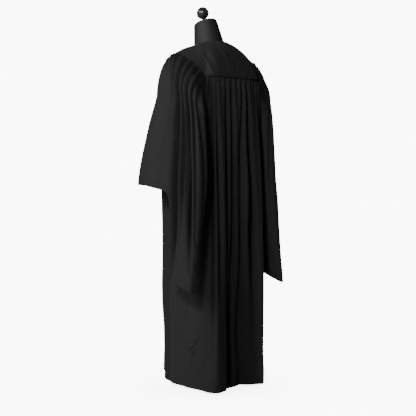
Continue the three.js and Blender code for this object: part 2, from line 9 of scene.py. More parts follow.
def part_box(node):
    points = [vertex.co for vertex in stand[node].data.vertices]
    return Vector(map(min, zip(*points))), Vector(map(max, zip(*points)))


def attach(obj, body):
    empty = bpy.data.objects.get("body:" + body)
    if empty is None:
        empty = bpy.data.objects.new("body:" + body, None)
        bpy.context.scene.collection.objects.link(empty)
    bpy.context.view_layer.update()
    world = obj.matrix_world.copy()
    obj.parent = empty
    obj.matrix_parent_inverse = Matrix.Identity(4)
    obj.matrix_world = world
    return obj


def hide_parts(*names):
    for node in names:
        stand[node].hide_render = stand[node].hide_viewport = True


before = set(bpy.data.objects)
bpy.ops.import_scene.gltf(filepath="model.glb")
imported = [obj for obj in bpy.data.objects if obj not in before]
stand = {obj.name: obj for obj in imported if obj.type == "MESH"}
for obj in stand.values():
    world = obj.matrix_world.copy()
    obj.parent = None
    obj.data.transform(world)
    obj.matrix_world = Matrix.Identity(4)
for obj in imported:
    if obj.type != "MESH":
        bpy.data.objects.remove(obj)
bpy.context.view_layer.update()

mm = 0.001

cloth = {"thickness": 0.0014, "seamGap": 0.3 * mm}

# A turn runs once round a piece: 0 at its front, 0.25 at its +X side, 0.5 at its back.
levels = {
    "backSeam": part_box("back_panel")[1].z + cloth["seamGap"],
    "frontSeam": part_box("left_front")[1].z + cloth["seamGap"],
    "underarm": 0.930,
    "frontCorner": 0.14,  # turns where the yoke's front and back seams meet the armhole
    "backCorner": 0.362,
    "sideSeam": 0.25,
    "frontEdge": 0.019,
    "sideMiddle": 0.012,
    "foldGirth": 1.04,
}

# Camera

camera = {
    "azimuth": 136.0,
    "distance": 3.6,
    "height": 0.816,
    "tilt": 2.533,  # degrees down
    "pan": 0.0884,  # degrees to the right of the gown's middle
    "lens": 84.1,
}


def makeCamera():
    data = bpy.data.cameras.new("photoCamera")
    data.lens = camera["lens"]
    data.clip_end = 100
    obj = bpy.data.objects.new("photoCamera", data)
    bpy.context.collection.objects.link(obj)
    angle = math.radians(camera["azimuth"])
    away = camera["distance"]
    obj.location = (math.sin(angle) * away, -math.cos(angle) * away, camera["height"])
    turn = angle + math.radians(camera["pan"])
    obj.rotation_euler = (math.radians(90 - camera["tilt"]), 0, turn)
    bpy.context.scene.camera = obj
    print("camera ready")


makeCamera()


# Curves through tables

def clamp(value, low=0.0, high=1.0):
    return max(low, min(high, value))


def mix(a, b, t):
    return a + (b - a) * t


def ease(t):
    t = clamp(t)
    return t * t * (3 - 2 * t)


def readSmooth(keys, values, at):
    # a smooth curve through the values, like a spline through pinned points
    last = len(keys) - 1
    at = clamp(at, keys[0], keys[-1])
    i = 0
    while i < last - 1 and at > keys[i + 1]:
        i += 1

    def slope(k):
        low, high = max(k - 1, 0), min(k + 1, last)
        return (values[high] - values[low]) / (keys[high] - keys[low])

    span = keys[i + 1] - keys[i]
    t = (at - keys[i]) / span
    rise = values[i + 1] - values[i]
    a, b = slope(i) * span, slope(i + 1) * span
    return values[i] + a * t + (3 * rise - 2 * a - b) * t * t + (a + b - 2 * rise) * t * t * t


def readStraight(keys, values, at):
    i = 0
    while i < len(keys) - 2 and at > keys[i + 1]:
        i += 1
    return mix(values[i], values[i + 1], clamp((at - keys[i]) / (keys[i + 1] - keys[i])))


def wander(seed, x, y=0.0, z=0.0):
    return noise.noise(Vector((seed * 7.31 + x, y, z + 3.7)))


def roundedRing(turn, toSide, toBack, toFront, backCorner, frontCorner):
    # point and outward direction on a rectangle with round corners
    around = turn % 1
    atBack = 0.25 < around < 0.75
    corner = backCorner if atBack else frontCorner
    depth = toBack if atBack else toFront
    flat = toSide - corner
    bend = corner * math.pi / 2
    quarter = flat + bend + depth - corner
    run = abs(around - (0.5 if atBack else round(around))) * 4 * quarter
    handed = 1 if around < 0.5 else -1
    facing = 1 if atBack else -1
    angle = clamp((run - flat) / corner, 0, math.pi / 2)
    x = min(run, flat) + corner * math.sin(angle)
    y = depth - corner + corner * math.cos(angle) - max(run - flat - bend, 0)
    return handed * x, facing * y, handed * math.sin(angle), facing * math.cos(angle)


# Each fold is a valley: its turn and depth at the lower end, half way and at the top, and its width.
def foldRow(low, middle, top, lowDepth, middleDepth, topDepth, width):
    depths = (lowDepth * mm, middleDepth * mm, topDepth * mm)
    return {"turns": (low, middle, top), "depths": depths, "width": width * mm}


valley = {
    "gentle": 0.72,  # below 1 the side of the lower turns is wider
    "steep": 1.3,
    "steepShade": 1.5,
    "end": 3,  # widths away from its middle
}


def valleys(folds, heights, height, unevenness, seed):
    # the folds at one height: place, depth, width
    rows = []
    for i, fold in enumerate(folds):
        place = readSmooth(heights, fold["turns"], height)
        depth = readSmooth(heights, fold["depths"], height)
        place += unevenness * 0.0022 * wander(seed + i, height * 3.1)
        depth *= 1 + unevenness * 0.35 * wander(seed + i + 40, height * 4.3)
        width = fold["width"] * (1 + unevenness * 0.3 * wander(seed + i + 80, height * 3.7))
        rows.append((place, max(depth, 0), width))
    return rows


def valleyDepth(rows, turn, girth):
    # a valley is wider on the side of the lower turns, and steep on the other
    total = 0.0
    for place, depth, width in rows:
        away = (turn - place) * girth / width * valley["gentle" if turn < place else "steep"]
        if abs(away) < valley["end"]:
            total += depth * math.exp(-away * away)
    return total


def foldShade(rows, turn, girth, spread):
    # the painted shade of a fold at a turn: darker towards the valley on the side of the lower turns
    total = 0.0
    for place, depth, width in rows:
        side = valley["gentle"] / spread if turn < place else valley["steepShade"]
        away = (turn - place) * girth / width * side
        if abs(away) < valley["end"]:
            total += depth * math.exp(-away * away)
    return total


# Creases

def crease(depth, width, *points):
    # a soft trough along a line of (turn, level) points; a negative depth is a ridge
    return {"depth": depth * mm, "width": width * mm, "points": points}


def creaseDepth(creases, turn, level, girth, fall):
    # girth and fall turn a turn and a level into metres
    x, y = turn * girth, level * fall
    total = 0.0
    for line in creases:
        reach = line["width"] * 3
        spots = [(t * girth, l * fall) for t, l in line["points"]]
        if not (min(a for a, b in spots) - reach < x < max(a for a, b in spots) + reach
                and min(b for a, b in spots) - reach < y < max(b for a, b in spots) + reach):
            continue
        nearest, along = 1.0, 0.0
        for i, ((ax, ay), (bx, by)) in enumerate(zip(spots, spots[1:])):
            length = (bx - ax) ** 2 + (by - ay) ** 2
            t = clamp(((x - ax) * (bx - ax) + (y - ay) * (by - ay)) / length)
            away = math.hypot(x - ax - t * (bx - ax), y - ay - t * (by - ay))
            if away < nearest:
                nearest, along = away, (i + t) / (len(spots) - 1)
        ends = ease(min(along, 1 - along) * 4 + 0.15)
        total += line["depth"] * ends * math.exp(-(nearest / line["width"]) ** 2)
    return total


def ripple(seed, across, down):
    # slow, shallow unevenness of hanging cloth, longer down than across
    return wander(seed, across * 14, down * 5) * 0.6 + wander(seed + 1, across * 34, down * 11) * 0.4


# Body of the gown

body = {
    "height": [0, 0.300, 0.700, 0.930, 1.095, 1.128, 1.160],
    "left": [0.127, 0.129, 0.134, 0.145, 0.149, 0.150, 0.150],
    "right": [0.151, 0.151, 0.150, 0.147, 0.149, 0.150, 0.150],
    "back": [0.162, 0.160, 0.157, 0.152, 0.146, 0.140, 0.132],
    "front": [-0.165, -0.163, -0.150, -0.126, -0.111, -0.108, -0.105],
    "corner": [0.038, 0.038, 0.041, 0.052, 0.058, 0.060, 0.060],
    "foldHeights": [0, 0.650, 1.128],
    "foldGrowth": 1.7,  # the cloth's folds are deeper than the solids'
    "foldStart": 0.028,
    "foldAtSeam": 0.35,
    "armholeFade": 0.018,
    "hemTurns": [0, 0.11, 0.132, 0.25, 0.42, 0.6, 0.75, 0.88, 1],
    "hemHeights": [0.046, 0.044, 0.018, 0.011, 0.007, 0.006, 0.008, 0.022, 0.040],
    "hemBand": 0.090,
    "spread": 0.8,  # how much wider the folds are at the hem
    "puckers": {"pitch": 0.0105, "depth": 0.0028, "reach": 0.034},
    "ripple": 0.0022,
    "shadeDepth": 0.034,
    "shadeSpread": 1.4,
    "spreadStart": 0.12,  # turns from the middle, past which the columns spread to the armhole
    "hemDepth": 0.070,
    "hemRaise": 0.0015,
    "creases": [
        crease(4.4, 6, (0.2665, 0.336), (0.2455, 0.254), (0.2305, 0.179)),
        crease(4.1, 4, (0.199, 0.1755), (0.226, 0.179), (0.2545, 0.164), (0.304, 0.183), (0.325, 0.187)),
        crease(-3.4, 5, (0.199, 0.168), (0.23, 0.170), (0.256, 0.156)),
        crease(6.8, 4, (0.3025, 0.1755), (0.2815, 0.157), (0.2545, 0.134)),
        crease(-4.1, 5, (0.304, 0.166), (0.286, 0.147), (0.262, 0.126)),
        crease(4.1, 6, (0.3115, 0.243), (0.304, 0.183), (0.286, 0.127), (0.268, 0.045)),
        crease(2.7, 4, (0.574, 0.1195), (0.5845, 0.123), (0.598, 0.116)),
        crease(-2.4, 4, (0.576, 0.112), (0.586, 0.115), (0.599, 0.107)),
        crease(3.7, 7, (0.735, 0.33), (0.752, 0.25), (0.766, 0.17)),
        crease(4.1, 5, (0.71, 0.176), (0.74, 0.17), (0.775, 0.181)),
        crease(3.4, 6, (0.83, 0.42), (0.846, 0.33), (0.85, 0.21)),
        crease(3.4, 6, (0.17, 0.46), (0.158, 0.37), (0.15, 0.25)),
        crease(3.1, 5, (0.06, 0.31), (0.09, 0.305), (0.118, 0.32)),
        crease(3.1, 5, (0.935, 0.27), (0.905, 0.28), (0.88, 0.272)),
    ],
    "folds": [
        foldRow(0.33, 0.345, 0.374, 2, 8, 6, 11),
        foldRow(0.37, 0.378, 0.388, 0, 22, 7, 12),
        foldRow(0.43, 0.418, 0.405, 2, 16, 7, 11),
        foldRow(0.46, 0.44, 0.427, 0, 3, 7, 10),
        foldRow(0.475, 0.462, 0.453, 0, 16, 7, 11),
        foldRow(0.492, 0.492, 0.481, 22, 19, 7, 11),
        foldRow(0.52, 0.508, 0.508, 0, 2, 7, 10),
        foldRow(0.545, 0.526, 0.531, 10, 18, 7, 11),
        foldRow(0.59, 0.575, 0.557, 4, 20, 7, 12),
        foldRow(0.6, 0.59, 0.58, 0, 2, 7, 10),
        foldRow(0.605, 0.606, 0.6, 0, 5, 7, 10),
        foldRow(0.67, 0.65, 0.618, 10, 10, 6, 13),
        foldRow(0.532, 0.515, 0.5, 26, 0, 0, 36),
        foldRow(0.05, 0.055, 0.06, 10, 7, 0, 15),
        foldRow(0.11, 0.105, 0.1, 12, 9, 2, 16),
        foldRow(0.155, 0.16, 0.17, 8, 6, 0, 16),
        foldRow(0.84, 0.835, 0.83, 9, 7, 0, 16),
        foldRow(0.885, 0.893, 0.9, 12, 8, 2, 15),
        foldRow(0.95, 0.948, 0.94, 9, 6, 0, 15),
    ],
}


@lru_cache(maxsize=200000)
def bodySize(height):
    keys = ("left", "right", "back", "front", "corner")
    return {key: readSmooth(body["height"], body[key], height) for key in keys}


@lru_cache(maxsize=200000)
def bodyValleys(height):
    rows = valleys(body["folds"], body["foldHeights"], height, 1.0, 10)
    spread = 1 + body["spread"] * ease(1 - height / levels["backSeam"])
    return [(place, depth * body["foldGrowth"], width * spread) for place, depth, width in rows]


def bodyPuckers(turn, below):
    # small uneven gathers under the seam
    pucker = body["puckers"]
    if below > pucker["reach"] * 2:
        return 0.0
    along = turn * levels["foldGirth"]
    along += 0.006 * wander(501, along * 45)
    wave = 0.5 - 0.5 * math.sin(along / pucker["pitch"] * 2 * math.pi)
    reach = pucker["reach"] * (1 + 0.7 * wander(502, along * 60))
    strength = max(0.6 + 0.8 * wander(503, along * 30), 0.1)
    return pucker["depth"] * strength * wave * ease(1 - below / reach) * ease(below / 0.004 + 0.2)


def armholeTurn(height, front):
    top = levels["frontSeam" if front else "backSeam"]
    reach = levels["frontCorner" if front else "backCorner"] - levels["sideSeam"]
    up = clamp((top - height) / (top - levels["underarm"]))
    return levels["sideSeam"] + reach * math.sqrt(1 - up * up)


def plainBody(turn, height):
    size = bodySize(height)
    side = size["left"] if turn < 0.5 else size["right"]
    middle = levels["sideMiddle"]
    corner = size["corner"]
    return roundedRing(turn, side, size["back"] - middle, middle - size["front"], corner, corner)


def bodyPoint(turn, height):
    height = round(height, 5)
    x, y, nx, ny = plainBody(turn, height)
    half = turn if turn < 0.5 else 1 - turn
    front = half < levels["sideSeam"]
    seam = levels["frontSeam"] if front else levels["backSeam"]
    grown = mix(body["foldAtSeam"], 1, ease((seam - height) / body["foldStart"]))
    clear = 1
    if height > levels["underarm"]:
        clear = ease(abs(half - armholeTurn(height, front)) / body["armholeFade"])
    depth = valleyDepth(bodyValleys(height), turn, levels["foldGirth"]) * grown * clear
    if not front:
        depth += bodyPuckers(turn, seam - height) * clear
    free = ease((seam - height) / 0.05) * ease(abs(half - levels["sideSeam"]) / 0.012 + 0.1) * clear
    depth += body["ripple"] * ripple(520, turn * levels["foldGirth"], height) * free
    depth += creaseDepth(body["creases"], turn, height, levels["foldGirth"], 1)
    hem = readSmooth(body["hemTurns"], body["hemHeights"], turn)
    depth -= body["hemRaise"] * ease((hem + body["hemDepth"] - height) / 0.004)
    return Vector((x - nx * depth, y + levels["sideMiddle"] - ny * depth, height))


def bodyShade(turn, height):
    # the painted shade at a place, by how deep in a fold it is, from 0 on a ridge to 1
    half = turn if turn < 0.5 else 1 - turn
    seam = levels["frontSeam"] if half < levels["sideSeam"] else levels["backSeam"]
    depth = foldShade(bodyValleys(round(height, 5)), turn, levels["foldGirth"], body["shadeSpread"])
    return clamp(depth * ease((seam - height) / 0.05) / body["shadeDepth"])


def panelHeight(turn, level):
    hem = readSmooth(body["hemTurns"], body["hemHeights"], turn)
    low = ease((body["hemBand"] - level) / body["hemBand"])
    return max(mix(level, hem, low), hem)


# Yoke

yoke = {
    "seamStitches": 0.003,
    "neckRadius": 0.066,
    "neckCentre": 0.003,
    "neckHeight": 1.264,
    "neckFrontDrop": 0.036,
    "shoulderTurn": 0.26,
    "shoulderSpan": 0.13,
    "controlReach": (0.78, 0.6),  # the neck slope's turning point: away from and at the shoulder
    "controlHeight": (0.27, 0.42),
    "ripple": 0.0012,
    "creases": [
        crease(-2, 3, (0.268, 0.533), (0.324, 0.533), (0.356, 0.633), (0.378, 0.85), (0.392, 0.99)),
        crease(-2.2, 3, (0.406, 0.1), (0.43, 0.233), (0.448, 0.4), (0.458, 0.55), (0.466, 0.7), (0.486, 0.85),
               (0.512, 0.98)),
        crease(-1, 3, (0.466, 0.7), (0.464, 0.967)),
        crease(-1.8, 3, (0.55, 0.583), (0.518, 0.767), (0.51, 0.833), (0.518, 0.9), (0.516, 0.99)),
        crease(2.2, 7, (0.345, 0.45), (0.375, 0.6), (0.41, 0.93)),
        crease(-1.8, 4, (0.66, 0.3), (0.63, 0.6), (0.61, 0.93)),
        crease(-1.8, 4, (0.79, 0.25), (0.83, 0.5), (0.845, 0.9)),
        crease(-1.8, 4, (0.205, 0.3), (0.17, 0.55), (0.15, 0.9)),
    ],
    "edge": [(0.163, -0.047, 1.191), (0.180, 0.014, 1.212), (0.172, 0.072, 1.190), (0.155, 0.101, 1.163)],
}


def shoulderShare(half):
    return ease(1 - abs(half - yoke["shoulderTurn"]) / yoke["shoulderSpan"])


def yokeCorner(turn, height):
    x, y, _, _ = plainBody(turn, height)
    return Vector((x, y + levels["sideMiddle"], height))


def centripetal(points, t):
    # the same curve as a centripetal Catmull-Rom spline through the points
    last = len(points) - 1
    place = clamp(t) * last
    i = min(int(place), last - 1)
    weight = place - i
    p1, p2 = points[i], points[i + 1]
    p0 = points[i - 1] if i > 0 else p1 * 2 - p2
    p3 = points[i + 2] if i + 2 <= last else p2 * 2 - p1
    d0, d1, d2 = (max((b - a).length, 1e-6) ** 0.5 for a, b in ((p0, p1), (p1, p2), (p2, p3)))
    m1 = ((p1 - p0) / d0 - (p2 - p0) / (d0 + d1) + (p2 - p1) / d1) * d1
    m2 = ((p2 - p1) / d1 - (p3 - p1) / (d1 + d2) + (p3 - p2) / d2) * d1
    w2, w3 = weight * weight, weight ** 3
    return p1 + m1 * weight + (p1 * -3 + p2 * 3 - m1 * 2 - m2) * w2 + (p1 * 2 - p2 * 2 + m1 + m2) * w3


shoulderPoints = [
    yokeCorner(levels["frontCorner"], levels["frontSeam"]),
    *[Vector(point) for point in yoke["edge"]],
    yokeCorner(levels["backCorner"], levels["backSeam"]),
]


def yokeEdge(turn):
    half = turn if turn < 0.5 else 1 - turn
    across = (half - levels["frontCorner"]) / (levels["backCorner"] - levels["frontCorner"])
    if across <= 0:
        point = yokeCorner(half, levels["frontSeam"])
    elif across >= 1:
        point = yokeCorner(half, levels["backSeam"])
    else:
        point = centripetal(shoulderPoints, across)
    if turn > 0.5:
        point.x = -point.x
    return point


def neckline(turn):
    angle = turn * 2 * math.pi
    frontness = (1 + math.cos(angle)) / 2
    height = yoke["neckHeight"] - yoke["neckFrontDrop"] * frontness ** 2
    radius = yoke["neckRadius"]
    return Vector((radius * math.sin(angle), yoke["neckCentre"] - radius * math.cos(angle), height))


def yokePoint(turn, reach):
    inner, outer = neckline(turn), yokeEdge(turn)
    share = shoulderShare(turn if turn < 0.5 else 1 - turn)
    control = inner.lerp(outer, mix(*yoke["controlReach"], share))
    control.z = mix(inner.z, outer.z, mix(*yoke["controlHeight"], share))
    return inner * (1 - reach) ** 2 + control * 2 * reach * (1 - reach) + outer * reach ** 2


def yokeCloth(turn, reach):
    free = ease(reach / 0.12) * ease((1 - reach) / 0.12)
    depth = yoke["ripple"] * ripple(530, turn * 0.8, reach * 0.3) * free
    depth += creaseDepth(yoke["creases"], turn, reach, 0.75, 0.17)
    return yokePoint(turn, reach) - surfaceNormal(yokePoint, turn, reach) * depth


def surfaceNormal(surface, a, b, step=1e-3):
    across = surface(a + step, b) - surface(a - step, b)
    along = surface(a, min(b + step, 1)) - surface(a, max(b - step, 0))
    return along.cross(across).normalized()


# Sleeves

sleeve = {
    "height": [0.373, 0.550, 0.750, 0.950, 1.050, 1.140],
    "left": {
        "inner": [0.217, 0.186, 0.168, 0.160, 0.156, 0.154],
        "outer": [0.246, 0.252, 0.256, 0.241, 0.226, 0.216],
        "front": [-0.195, -0.122, -0.122, -0.084, -0.060, -0.042],
        "back": [0.154, 0.166, 0.180, 0.165, 0.138, 0.095],
        "frontCorner": [0.012, 0.020, 0.020, 0.028, 0.030, 0.028],
        "backCorner": [0.012, 0.029, 0.030, 0.032, 0.030, 0.028],
    },
    "right": {
        "inner": [0.217, 0.188, 0.170, 0.160, 0.156, 0.154],
        "outer": [0.244, 0.237, 0.233, 0.229, 0.222, 0.214],
        "front": [-0.195, -0.128, -0.136, -0.094, -0.066, -0.044],
        "back": [0.157, 0.153, 0.142, 0.132, 0.121, 0.092],
        "frontCorner": [0.012, 0.018, 0.020, 0.028, 0.028, 0.028],
        "backCorner": [0.012, 0.022, 0.027, 0.028, 0.028, 0.028],
    },
    "hemTurns": [0, 0.13, 0.25, 0.283, 0.298, 0.306, 0.314, 0.4, 0.5],
    "hemHeights": [0.747, 0.741, 0.727, 0.717, 0.685, 0.620, 0.418, 0.398, 0.374],
    "foldHeights": [0.420, 0.830, 1.120],
    "girth": 0.68,
    "headTurns": {"front": 0.06, "back": 0.45, "under": 0.75},
    "headShare": 0.3,
    "headRise": 0.026,
    "headBulge": 0.9,
    "yokeGap": 0.0005 + cloth["thickness"],
    "armholeGap": 0.0013,
    "shoulderHeight": 1.212,
    "drops": (0.048, 0.092),
    "rightFoldShare": 0.6,
    "shadeDepth": 0.022,
    "shadeSpread": 2.0,
    "gatherShadeDepth": 0.006,
    "folds": [
        foldRow(0.1, 0.1, 0.1, 7, 3, 0, 26),
        foldRow(0.23, 0.235, 0.27, 0, 5, 9, 9),
        foldRow(0.345, 0.335, 0.319, 6, 34, 18, 10),
        foldRow(0.385, 0.380, 0.366, 0, 20, 14, 7),
        foldRow(0.478, 0.425, 0.408, 3, 34, 18, 11),
        foldRow(0.5, 0.468, 0.455, 0, 13, 10, 9),
        foldRow(0.545, 0.53, 0.481, 4, 12, 12, 10),
        foldRow(0.62, 0.61, 0.6, 6, 14, 3, 16),
        foldRow(0.7, 0.71, 0.72, 4, 9, 0, 18),
        foldRow(0.87, 0.86, 0.85, 8, 8, 0, 20),
    ],
    # short gathers below the seam, narrow at the seam: turn, depth, width and reach in mm
    "gathers": [
        (0.110, 5, 6, 34), (0.128, 6, 6, 46), (0.143, 7, 6, 60), (0.157, 6, 5, 38), (0.170, 8, 6, 52),
        (0.184, 10, 6, 96), (0.197, 7, 5, 44), (0.209, 8, 5, 58), (0.222, 10, 6, 118), (0.236, 7, 5, 42),
        (0.249, 10, 6, 84), (0.262, 7, 5, 46), (0.285, 8, 5, 52), (0.298, 9, 6, 72), (0.309, 7, 5, 40),
        (0.333, 7, 5, 44), (0.345, 9, 6, 76), (0.357, 7, 5, 42), (0.382, 8, 5, 54), (0.395, 9, 6, 84),
        (0.420, 7, 5, 44), (0.433, 9, 6, 66), (0.447, 7, 5, 46), (0.468, 8, 6, 70), (0.484, 6, 6, 44),
        (0.505, 7, 7, 58), (0.530, 5, 7, 42), (0.556, 5, 8, 40),
    ],
    "gatherLean": 0.03,
    "hemDepth": 0.02,
    "columns": [(0.17, 26), (0.27, 36), (0.33, 34), (0.5, 60), (0.67, 24), (0.73, 20), (1, 30)],
    "middle": (0.2, 0.03),
    "puff": 0.005,
    "ripple": 0.0024,
    "creases": {
        1: [
            crease(3.4, 6, (0.4766, 0.785), (0.497, 0.808), (0.5234, 0.835)),
            crease(-2.4, 6, (0.47, 0.80), (0.49, 0.825), (0.515, 0.85)),
            crease(1.8, 6, (0.461, 0.915), (0.5125, 0.95)),
            crease(2.2, 7, (0.27, 0.70), (0.30, 0.60), (0.31, 0.52)),
            crease(1.6, 9, (0.12, 0.84), (0.17, 0.80), (0.24, 0.82)),
            crease(1.8, 8, (0.62, 0.66), (0.66, 0.60), (0.70, 0.62)),
        ],
        -1: [
            crease(3.0, 6, (0.552, 0.64), (0.542, 0.665), (0.544, 0.685), (0.534, 0.755), (0.516, 0.82)),
            crease(2.0, 6, (0.584, 0.845), (0.566, 0.89), (0.54, 0.92)),
            crease(1.8, 8, (0.13, 0.82), (0.18, 0.78), (0.25, 0.80)),
            crease(2.2, 7, (0.28, 0.70), (0.30, 0.60), (0.31, 0.50)),
        ],
    },
}


@lru_cache(maxsize=None)
def sleeveHead(turn, side):
    # where the sleeve's top edge meets the yoke and the body
    corners = sleeve["headTurns"]
    around = turn + 1 if turn < corners["front"] else turn
    if around <= corners["back"]:
        along = (around - corners["front"]) / (corners["back"] - corners["front"])
        yokeTurn = mix(levels["frontCorner"], levels["backCorner"], along)
        return yokeEdge(yokeTurn) + surfaceNormal(yokePoint, yokeTurn, 1) * sleeve["yokeGap"]
    front = around > corners["under"]
    seam = levels["frontSeam"] if front else levels["backSeam"]
    far = 1 + corners["front"] if front else corners["back"]
    angle = (around - corners["under"]) / (far - corners["under"]) * math.pi / 2
    height = mix(levels["underarm"], seam, 1 - math.cos(angle))
    edge = armholeTurn(height, front)
    point = bodyPoint(edge if side > 0 else 1 - edge, height)
    point.x = abs(point.x)
    outward = (point - Vector((0, levels["sideMiddle"], height))).normalized()
    return point + outward * sleeve["armholeGap"]


@lru_cache(maxsize=200000)
def sleeveSize(height, side):
    sizes = sleeve["left"] if side > 0 else sleeve["right"]
    return {key: readSmooth(sleeve["height"], values, height) for key, values in sizes.items()}


@lru_cache(maxsize=200000)
def sleeveValleys(height, side):
    rows = valleys(sleeve["folds"], sleeve["foldHeights"], height, 1.0, 200 if side > 0 else 300)
    share = 1 if side > 0 else sleeve["rightFoldShare"]
    return [(place, depth * share, width) for place, depth, width in rows]


def gatherDepth(around, below, side):
    total = 0.0
    for i, (place, depth, width, reach) in enumerate(sleeve["gathers"]):
        fade = 1 - below * 1000 / (reach * (1 + 0.4 * wander(400 + side, i * 1.7)))
        if fade > 0:
            lean = sleeve["gatherLean"] * clamp((place - 0.2) / 0.2) * ease(below / 0.05)
            swing = place + lean + 0.004 * wander(410 + i, below * 16, side)
            away = (around - swing) * sleeve["girth"] * 1000 / (width * (0.75 + 0.9 * (1 - fade)))
            if abs(away) < valley["end"]:
                total += depth * mm * ease(fade) * math.exp(-away * away)
    return total


def sleeveShade(turn, fall, side):
    # painted shade of the sleeve: darker in its folds and in the gathers below the seam
    around = turn % 1
    at = sleevePoint(turn, fall, side)
    head = sleeveHead(around, side)
    below = math.hypot(at.z - head.z, abs(at.x) - head.x)
    rows = sleeveValleys(round(at.z, 3), side)
    depth = foldShade(rows, around, sleeve["girth"], sleeve["shadeSpread"]) * ease(below / 0.03)
    short = max(gatherDepth(around, below, side), 0) * ease(below / 0.006 + 0.4)
    return clamp(depth / sleeve["shadeDepth"] + short / sleeve["gatherShadeDepth"])


def sleevePoint(turn, fall, side):
    around = turn % 1
    head = sleeveHead(around, side)
    rise = (head.z - levels["underarm"]) / (sleeve["shoulderHeight"] - levels["underarm"])
    drop = mix(*sleeve["drops"], ease(rise))
    bend = head.z - drop
    hem = readStraight(sleeve["hemTurns"], sleeve["hemHeights"], around if around < 0.5 else 1 - around)
    share = sleeve["headShare"]
    height = bend if fall < share else mix(bend, hem, clamp((fall - share) / (1 - share)))
    size = sleeveSize(round(height, 5), side)
    reach = (size["back"] - size["front"]) / 2
    half = (size["outer"] - size["inner"]) / 2
    x, y, nx, ny = roundedRing(around, half, reach, reach, size["backCorner"], size["frontCorner"])
    x += (size["inner"] + size["outer"]) / 2
    y += (size["front"] + size["back"]) / 2
    angle = min(fall / share, 1) * math.pi / 2
    out = math.sin(angle) ** sleeve["headBulge"]
    down = mix(head.z, bend, 1 - math.cos(angle)) if fall < share else height
    below = fall / share * drop * 1.2 if fall < share else drop * 1.2 + bend - height
    grown = mix(0.45, 1, ease(fall / share * drop / sleeve["headRise"]))
    depth = valleyDepth(sleeveValleys(round(down, 4), side), around, sleeve["girth"]) * ease(below / 0.03)
    gather = gatherDepth(around, below, side) * grown
    gather -= sleeve["puff"] * ease(below / 0.02) * ease(1 - below / 0.09)
    gather += sleeve["ripple"] * ripple(540 + side, around * sleeve["girth"], height) * ease(below / 0.05)
    gather += creaseDepth(sleeve["creases"][side], around, fall, sleeve["girth"], 0.7)
    tilt = out if fall < share else 1
    press = depth + gather * tilt
    return Vector((
        (mix(head.x, x, out) - nx * press) * side,
        mix(head.y, y, out) - ny * press,
        down + depth * 0.25 * (1 - out) - gather * math.sqrt(max(1 - tilt * tilt, 0)),
    ))


# Cloth pieces

def makeObject(name, mesh):
    data = bpy.data.meshes.new(name)
    mesh.to_mesh(data)
    mesh.free()
    obj = bpy.data.objects.new(name, data)
    bpy.context.collection.objects.link(obj)
    return obj


def clothPiece(name, node, columns, rows, surface, outward, closed=False, shade=None):
    # A flat grid moved onto the surface. Its first UV map is in metres along the cloth, and its second
    # holds the shade of the folds and the distance from the hem. Outward gives the way out at a place.
    mesh = bmesh.new()
    bmesh.ops.create_grid(mesh, x_segments=len(columns) - 1, y_segments=len(rows) - 1, size=1)
    places = {}
    for vert in mesh.verts:
        i = round((vert.co.x + 1) / 2 * (len(columns) - 1))
        j = round((1 - vert.co.y) / 2 * (len(rows) - 1))
        places[(i, j)] = vert
    for (i, j), vert in places.items():
        vert.co = surface(columns[i], rows[j])
    uv = mesh.loops.layers.uv.new("cloth")
    inFold = mesh.loops.layers.uv.new("fold")
    shades = {vert: shade(columns[i], rows[j]) if shade else 0.0 for (i, j), vert in places.items()}
    acrossRun, downRun = {}, {}
    for (i, j), vert in sorted(places.items()):
        before = places.get((i - 1, j))
        above = places.get((i, j - 1))
        acrossRun[vert] = acrossRun[before] + (vert.co - before.co).length if before else 0.0
        downRun[vert] = downRun[above] + (vert.co - above.co).length if above else 0.0
    lowest = {vert: places[(i, len(rows) - 1)] for (i, j), vert in places.items()}
    for face in mesh.faces:
        face.smooth = True
        for loop in face.loops:
            loop[uv].uv = (acrossRun[loop.vert], -downRun[loop.vert])
            loop[inFold].uv = (shades[loop.vert], downRun[lowest[loop.vert]] - downRun[loop.vert])
    if closed:
        first = [places[(0, j)] for j in range(len(rows))]
        last = [places[(len(columns) - 1, j)] for j in range(len(rows))]
        bmesh.ops.weld_verts(mesh, targetmap=dict(zip(last, first)))
    mesh.normal_update()
    wrong = sum(1 for face in mesh.faces if face.normal.dot(outward(face.calc_center_median())) < 0)
    if wrong > len(mesh.faces) / 2:
        bmesh.ops.reverse_faces(mesh, faces=mesh.faces)
    piece = makeObject(name, mesh)
    wall = piece.modifiers.new("thickness", "SOLIDIFY")
    wall.thickness = cloth["thickness"]
    wall.offset = -1
    wall.use_even_offset = False
    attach(piece, "root")
    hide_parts(node)
    print(name, "ready")
    return piece


def steps(start, end, count):
    return [mix(start, end, i / count) for i in range(count + 1)]


def makeYoke():
    edge = levels["frontEdge"]
    columns = steps(edge, 0.25, 60) + steps(0.25, 0.75, 230)[1:] + steps(0.75, 1 - edge, 60)[1:]
    rows = steps(0, 1, 64)
    return clothPiece("gownYoke", "yoke", columns, rows, yokeCloth, lambda at: Vector((at.x, at.y, 0.3)))


def makePanel(name, node, centre, aways, seam, edgeAt, rows):
    # a column is a distance in turns from the middle of the panel, a row the share of the way down
    start, end = body["spreadStart"], abs(edgeAt(0) - centre)

    def place(away, fall):
        turn = centre + away
        if abs(away) > start:
            edge = abs(edgeAt(mix(seam, 0, fall)) - centre)
            turn = centre + math.copysign(mix(start, edge, (abs(away) - start) / (end - start)), away)
        return turn, panelHeight(turn, mix(seam - cloth["seamGap"], 0, fall))

    return clothPiece(name, node, aways, rows, lambda away, fall: bodyPoint(*place(away, fall)),
                      lambda at: Vector((at.x, at.y, 0)),
                      shade=lambda away, fall: bodyShade(*place(away, fall)))


